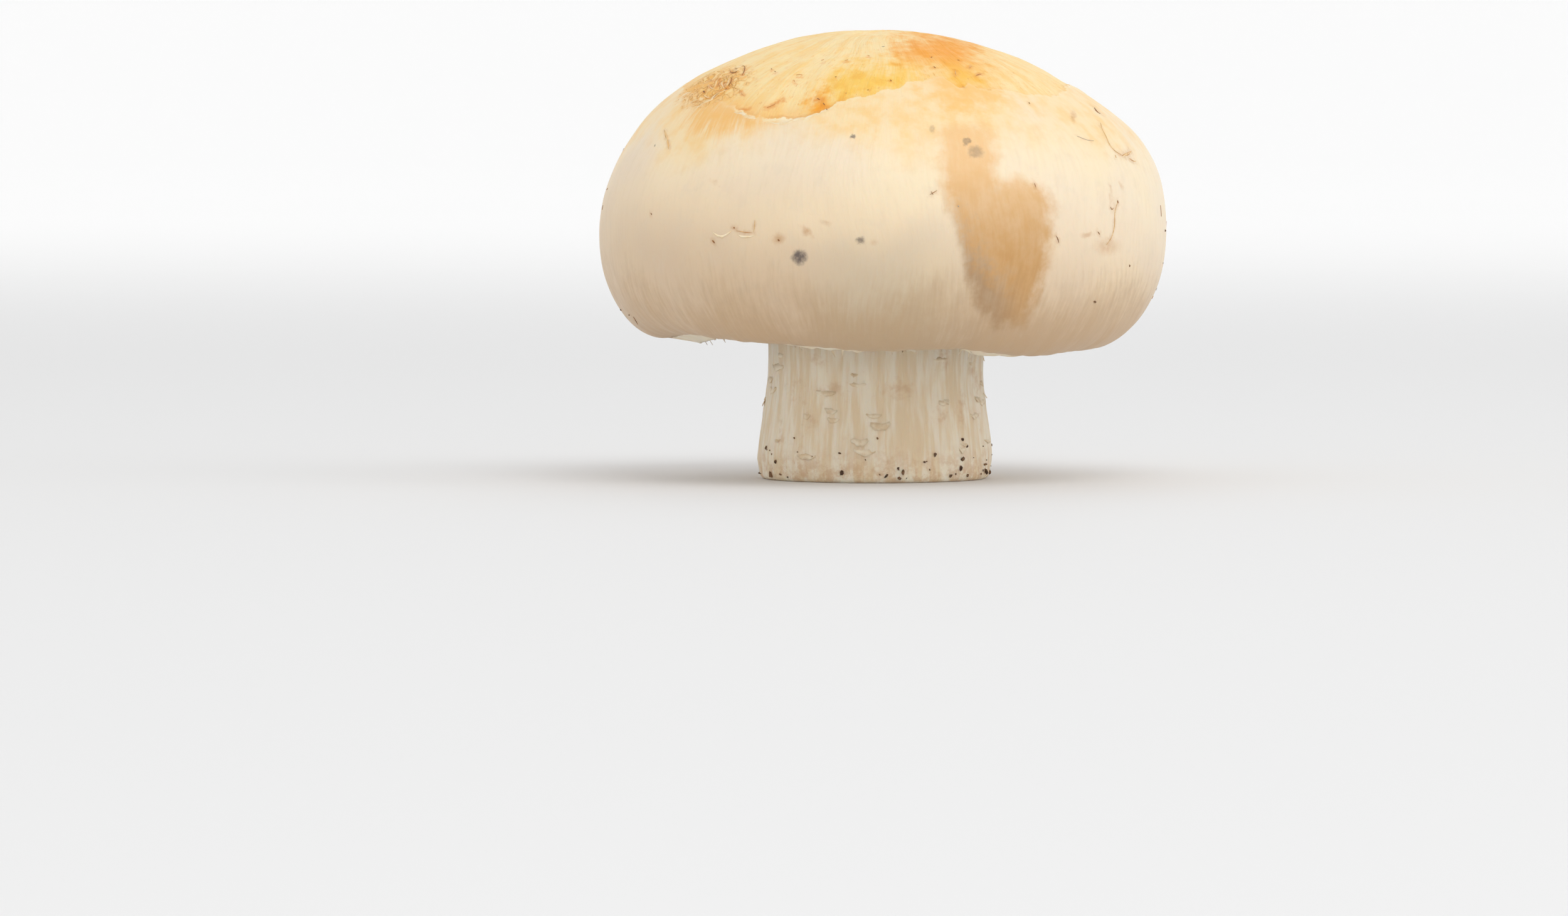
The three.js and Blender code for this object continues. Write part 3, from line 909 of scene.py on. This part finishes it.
def makeSlivers(materials):
    bm = bmesh.new()
    for tone, index in (("fibre", 0), ("rust", 1), ("tan", 2), ("slate", 3)):
        for halfWidth, *points in slivers[tone]:
            layStrip(bm, alongSkin(points), sliverShape(halfWidth), loose["sheet"], index)
    draw = random.Random(loose["seed"])
    for _ in range(scattered["count"]):
        degrees, z, turn, length = drawn(draw, scattered, "degrees", "height", "turn", "length")
        spots = []
        for step in range(4):
            along = (step / 3 - 0.5) * length
            aside = along * math.cos(turn) * scattered["degreesAMm"]
            spots.append(fromAxis(degrees + aside, z + along * math.sin(turn)))
        shape = sliverShape(*drawn(draw, scattered, "halfWidth"))
        layStrip(bm, spots, shape, loose["sheet"], draw.choice([0, 1, 1, 3]))
    writePiece("dark_slivers", bm, materials)


def makePeels(materials):
    bm = bmesh.new()
    for i, (tone, width, lift, *points) in enumerate(peels):
        index = ("gold", "cream").index(tone)
        layStrip(bm, alongSkin(points), peelShape(width, lift, i), loose["peelSheet"], index)
    # the curled lip along the torn edge, where the skin curls most
    for start, end in lips["runs"]:
        steps = round((end - start) * lips["stepsADegree"])
        spots = []
        for i in range(steps + 1):
            degrees = start + (end - start) * i / steps
            r = torn((degrees + 180) % 360 - 180)[0] + 0.5 + 0.2 * grain((degrees * 0.4, 0, 0), 1, 32)
            spots.append(fleshTree.ray_cast(pole + facing(degrees) * r + upwards * 30, -upwards)[:2])
        layStrip(bm, spots[::-1], peelShape(lips["width"], lips["lift"], start), loose["peelSheet"], 1)
    writePiece("curled_skin", bm, materials)


def makeStemScales(material):
    # little curled scales of stem flesh, and threads that hang from the torn veil
    bm = bmesh.new()
    draw = random.Random(loose["seed"] + 1)
    for i in range(stemScales["count"]):
        degrees, z, span = drawn(draw, stemScales, "degrees", "height", "span")
        spots = []
        for k in range(5):
            height = z + draw.uniform(*stemScales["waver"])
            spots.append(fromAxis(degrees - span + span * k / 2, height, stemScales["reach"]))
        shape = peelShape(*drawn(draw, stemScales, "width", "lift"), i)
        layStrip(bm, spots, shape, loose["peelSheet"])
    for i in range(threads["count"]):
        way = wayAt(math.tau * (i + draw.uniform(*threads["unevenly"])) / threads["count"])
        out, high = veil["edge"] + threads["inside"], cap["marginHeight"] + veil["rise"]
        start = grow(way * out + upwards * high)
        length, drift = drawn(draw, threads, "length", "drift")
        fallen = way.cross(upwards) * drift - upwards * length * 0.75
        shares = (0, 0.2, 0.4, 0.6, 0.8, 1)
        spots = [(start - way * length * 0.8 * t + fallen * t * t, upwards) for t in shares]
        layStrip(bm, spots, sliverShape(*drawn(draw, threads, "halfWidth")), loose["peelSheet"])
    writePiece("stem_scales_and_threads", bm, [material])


def makeCrumbs(material):
    bm = bmesh.new()
    draw = random.Random(loose["seed"] + 2)
    places = []
    for _ in range(crumbs["onFoot"]):
        met = fromAxis(draw.uniform(0, 360), crumbs["lowest"] + crumbs["rise"] * draw.random() ** 2)
        places.append((*met, crumbs["footSize"]))
    for _ in range(crumbs["onCap"]):
        places.append((*fromAxis(*drawn(draw, crumbs, "degrees", "height")), crumbs["capSize"]))
    for spot, normal, largest in places:
        size = (0.3 + 0.7 * draw.random() ** 2) * largest
        crumb = bmesh.ops.create_icosphere(bm, subdivisions=1, radius=size)["verts"]
        squash = Matrix.Diagonal([draw.uniform(*ends) for ends in crumbs["squash"]])
        turn = Euler([draw.uniform(0, math.tau) for _ in range(3)]).to_matrix()
        for v in crumb:
            v.co = spot + normal * size * 0.3 + turn @ squash @ (v.co * draw.uniform(*crumbs["dents"]))
            v.co.z = max(v.co.z, 0)
    writePiece("peat_crumbs", bm, [material], smooth=False)


# Materials

skin = tints(
    cool=(250, 231, 203), warm=(254, 233, 199), low=(206, 176, 142), lowGrey=(196, 188, 162),
    smudge=(224, 210, 188), silk=(228, 206, 172), blush=(255, 224, 172), gold=(255, 211, 138),
    finger=(250, 190, 102), crownPale=(255, 226, 168), crownDeep=(255, 212, 138), strand=(236, 160, 74),
    yellow=(255, 204, 84), orange=(250, 160, 20), halo=(253, 200, 120), fleck=(204, 120, 40),
    bruised=(236, 152, 44), lip=(255, 236, 196), shade=(222, 156, 80), crumpled=(248, 184, 88),
    crack=(150, 84, 34), stain=(245, 201, 143), stainLow=(206, 156, 92), stainGrey=(160, 134, 108),
    slate=(100, 88, 84), rust=(198, 146, 90), sore=(224, 134, 34), dirt=(184, 148, 108), speck=(84, 62, 46))


def finishFlesh(material, colour, roughness, relief, depth=0.25):
    # relief in mm; depth is how much light sinks in
    setShader(material, Base_Color=colour, Roughness=roughness, Subsurface_Weight=depth,
              Normal=addNode("Bump", {"Distance": mm, "Height": relief}), Subsurface_Radius=(1, 0.62, 0.36),
              Subsurface_Scale=0.0022, Specular_IOR_Level=0.35, Sheen_Weight=0.06)
    return material


def makeSkin():
    material, spot = newMaterial("cap skin")
    height, sideways = partOf(spot, "Z"), partOf(spot, "X")
    around = attribute(spot.tree, "around", "Vector")
    arc = attribute(spot.tree, "arc")
    tear, curl, scar, mottle, broad, stain, yellow, orange, blush, combed, crazed = (
        attribute(spot.tree, name) for name in fieldNames)

    def streaks(across, stretch, detail):
        return place(streakGroup, Around=around, Along=arc, Across=across, Stretch=stretch, Detail=detail)

    smudge = cloud(spot, 0.6, 3, 0.6)
    fine, hair = streaks(62, 0.34, 3), streaks(150, 0.8, 1)
    outwards = ramp(arc, 1.5, 9)
    fine = fine * outwards + smudge * (1 - outwards)
    fray = cloud(spot, 1.7, 3, 0.6) - 0.5
    patchy = (smudge - 0.5) * 5 + fray * 1.6
    ragged = patchy + (fine - 0.5) * 1.2
    tearLine = tear + fray
    unevenly = broad - 0.5

    # darker and tanner towards the bottom and on the left, partly the skin's own colour and partly painted
    # shade; greyer low in the middle
    middle = fall(calc("ABSOLUTE", sideways - 1), 2, 11)
    colour = paint(skin, skin["cool"], warm=ramp(mottle, 0.35, 0.65),
                   low=0.64 * fall(height + mottle * 6 + sideways * 0.16, 20, 35),
                   lowGrey=0.4 * middle * fall(height + mottle * 5, 20, 32),
                   smudge=0.2 * ramp(smudge, 0.48, 0.75), silk=0.16 * ramp(fine, 0.42, 0.75))

    # warm band round the crown, with fingers that run down out of it on the left
    band = ramp(blush + (mottle - 0.5) * 7 + unevenly * 2.5 + ragged * 0.4, -3, 2.6)
    bandTone = blend(ramp(broad * 0.3 + smudge * 0.7, 0.4, 0.66), skin["blush"], skin["gold"])
    reach = combed * 0.3 + broad * 0.35 + smudge * 0.12 + fine * 0.58
    rightwards = ramp(sideways + patchy * 1.5, -1, 3.5)
    halo = 0.9 * ramp(orange + patchy * 0.9, -3.6, 0) * rightwards
    colour = paint(skin, blend(0.8 * band, colour, bandTone),
                   finger=0.72 * ramp(reach, 0.5, 0.78) * ramp(combed, 0, 0.5), halo=halo)

    # brown run down the cap, greyer low on its left
    greyed = fall(stain + height * 0.45 + patchy * 1.5, 9.5, 13.5)
    runTone = paint(skin, skin["stain"], stainLow=fall(height, 22, 34),
                    stainGrey=0.7 * greyed * fall(sideways, 11, 14.5))
    run = ramp(stain + patchy * 0.34 + unevenly * 1.8, -1, 0.8)
    run = run * ramp(mottle * 0.45 + smudge * 0.35 + fine * 0.2, 0.36, 0.62, 0.7, 0.94)
    colour = blend(run, colour, runTone)

    # bare crown, with its yellow and orange bruises, fine strands and short brown dashes
    bare = ramp(tearLine, -0.06, 0.1)
    deep = ramp(broad * 0.35 + fine * 0.3 + smudge * 0.35, 0.4, 0.64)
    rim = 0.5 * fall(tear + patchy * 0.6, 0.2, 2.6) * fall(sideways, -8, -2)
    crownTone = paint(skin, skin["crownPale"], crownDeep=deep, halo=0.6 * halo, finger=rim)
    orangeTone = paint(skin, skin["orange"], yellow=0.75 * fall(height, 39.6, 42.4) * rightwards)
    for field, full, tone in ((yellow, 1.8, skin["yellow"]), (orange, 1.5, orangeTone)):
        bruise = ramp(field + ragged * 0.8 + unevenly * 2, -1.5, full)
        darker = 0.3 * bruise * ramp(smudge * 0.5 + broad * 0.5, 0.5, 0.66)
        crownTone = paint(skin, blend(0.9 * bruise, crownTone, tone), bruised=darker)
    frayed = ramp(fray, -0.02, 0.1)
    crownTone = paint(skin, crownTone, strand=0.4 * thinLine(fine, 0.53, 0.02) * frayed,
                      fleck=0.6 * ramp(hair, 0.66, 0.77) * frayed)
    # a pale line of painted highlight on the curled lip just outside the torn edge, and painted shade just
    # inside it
    colour = paint(skin, blend(bare, colour, crownTone),
                   lip=0.8 * curl * ramp(tearLine, -0.5, -0.15) * fall(tearLine, -0.08, 0.03),
                   shade=0.5 * curl * ramp(tearLine, 0, 0.1) * fall(tearLine, 0.1, 0.6))

    # crumpled skin, cracked along its folds, with a pale line of painted highlight beside each crack
    crumpled = ramp(crazed + fray * 0.8, 0.05, 0.5) * ramp(crazed, 0, 0.2)
    folds = cloud(vectorCalc("MULTIPLY", spot, (1.5, 0.9, 0.8)), 1, 2)
    colour = paint(skin, colour, crumpled=0.85 * crumpled * ramp(folds, 0.3, 0.5),
                   lip=0.4 * crumpled * thinLine(folds, 0.56, 0.02),
                   crack=0.6 * crumpled * thinLine(folds, 0.5, 0.018) * ramp(smudge, 0.42, 0.52))

    # sore skin beside scratches, and spots, each nudged out of its even shape
    soreTone = blend(bare, skin["rust"], skin["sore"])
    sore = ramp(scar + fray * 1.4, 0.12, 1.1) * ramp(bare, 0, 1, 0.42, 0.62)
    colour = blend(sore, colour, soreTone)
    nudge = vectorCalc("SUBTRACT", cloud(spot, 1.3, 4, 0.7, "Color"), (0.5, 0.5, 0.5))
    nudged = vectorCalc("ADD", spot, vectorCalc("MULTIPLY", nudge, (0.9, 0.9, 0.9)))
    for spots, tone, solid in ((rustSpots, soreTone, 0.1), (slateSpots, skin["slate"], 0.45)):
        found = 0
        for x, z, halfWidth, halfHeight, strength in spots:
            mark = place(markGroup, Place=nudged, Middle=onSkin(fleshTree, x, z)[0],
                         Size=(halfWidth, 1, halfHeight), Solid=solid)
            found = calc("MAXIMUM", strength * mark, found)
        colour = blend(found * ramp(fray, -0.14, 0.06, 0.7, 1), colour, tone)

    # darker brown towards the margin, and specks all over
    towardsMargin = fall(height - smudge * 5 - mottle * 7 - fine * 7, 4.5, 13)
    specks = place(speckGroup, Place=nudged, Spacing=3.6, Size=0.17, Share=0.3)
    colour = paint(skin, colour, dirt=0.55 * towardsMargin, speck=0.6 * specks)

    relief = fine * 0.05 + hair * 0.008 + bare * fine * 0.05 - bare * 0.03 + smudge * 0.03
    relief = relief - crumpled * thinLine(folds, 0.5, 0.05) * 0.08
    shine = ramp(fine * 0.6 + smudge * 0.5 + bare * 0.3, 0.3, 1.1, 0.44, 0.66)
    return finishFlesh(material, colour, shine, relief)


stemTones = tints(white=(246, 234, 212), cream=(236, 215, 182), bruise=(212, 172, 130), peat=(112, 84, 62),
                  cut=(236, 214, 178), cutRim=(200, 156, 110))
gillTones = tints(pink=(190, 142, 122), brown=(150, 104, 86), pale=(214, 180, 160))


def axisStreaks(spot, across, stretch, detail):
    # streaks that run up and down
    around = vectorCalc("NORMALIZE", vectorCalc("MULTIPLY", spot, (1, 1, 0)))
    return place(streakGroup, Around=around, Along=partOf(spot, "Z"), Across=across, Stretch=stretch,
                 Detail=detail)


def makeStemFlesh():
    material, spot = newMaterial("stem and veil flesh")
    fine, broad = axisStreaks(spot, 24, 0.25, 3), axisStreaks(spot, 6, 0.12, 2)
    smudge = cloud(spot, 0.35, 4, 0.65)
    colour = paint(stemTones, stemTones["white"], cream=ramp(broad * 0.6 + fine * 0.4, 0.42, 0.6),
                   bruise=0.55 * ramp(smudge, 0.54, 0.74))
    low = 0.7 * fall(partOf(spot, "Z"), 0, 4.5) * ramp(cloud(spot, 0.8, 4, 0.7), 0.4, 0.62)
    specks = place(speckGroup, Place=spot, Spacing=2.2, Size=0.16, Share=0.35)
    colour = paint(stemTones, colour, bruise=low, peat=0.8 * specks)
    return finishFlesh(material, colour, ramp(fine, 0.3, 0.7, 0.55, 0.75), fine * 0.14 + smudge * 0.08)


def makeCutFlesh():
    material, spot = newMaterial("cut flesh")
    across = vectorCalc("LENGTH", vectorCalc("MULTIPLY", spot, (1, 1, 0)))
    uneven = cloud(spot, 0.5, 5, 0.65)
    colour = paint(stemTones, stemTones["cut"], cutRim=ramp(across + uneven * 4, 10, 13),
                   bruise=0.6 * fall(across + uneven * 3, 2, 5))
    strokes = cloud(vectorCalc("MULTIPLY", spot, (0.3, 3, 1)), 1)
    roughness = ramp(uneven, 0.3, 0.7, 0.52, 0.7)
    return finishFlesh(material, colour, roughness, strokes * 0.08 + uneven * 0.06, 0.2)


def makeGillTissue():
    material, spot = newMaterial("gill tissue")
    streaks = axisStreaks(spot, 60, 0.3, 2)
    colour = paint(gillTones, gillTones["pink"], brown=ramp(streaks, 0.35, 0.65),
                   pale=0.6 * fall(partOf(spot, "Z"), 18, 20.5))
    return finishFlesh(material, colour, ramp(streaks, 0.3, 0.7, 0.6, 0.8), streaks * 0.05, 0.15)


def makePlainGrain(name, dark, light, rough, size=1.4):
    # small loose pieces: two tones of a cloud and a fine grain
    material, spot = newMaterial(name)
    lumps = cloud(spot, size, 3, 0.6)
    colour = blend(ramp(lumps, 0.38, 0.62), tint(*dark), tint(*light))
    roughness = ramp(lumps, 0.3, 0.7, rough - 0.08, rough + 0.08)
    return finishFlesh(material, colour, roughness, cloud(spot, size * 4, 2) * 0.04, 0)


fleshTree, fruitBody = makeFlesh()
for material in (makeSkin(), makeStemFlesh(), makeCutFlesh()):
    fruitBody.data.materials.append(material)
makeGills(makeGillTissue())
makeSlivers([makePlainGrain("dark fibre", (116, 74, 40), (168, 116, 68), 0.7),
             makePlainGrain("rust fibre", (198, 138, 76), (236, 190, 126), 0.65),
             makePlainGrain("tan fibre", (208, 166, 104), (238, 206, 152), 0.6),
             makePlainGrain("slate fibre", (172, 158, 142), (206, 190, 168), 0.6)])
makePeels([makePlainGrain("golden curled skin", (250, 204, 134), (255, 226, 176), 0.5, 0.9),
           makePlainGrain("cream curled skin", (252, 222, 172), (255, 238, 204), 0.5, 0.9)])
makeStemScales(makePlainGrain("stem scale", (232, 208, 172), (248, 234, 208), 0.6, 0.8))
makeCrumbs(makePlainGrain("peat crumb", (74, 54, 40), (136, 104, 76), 0.85))
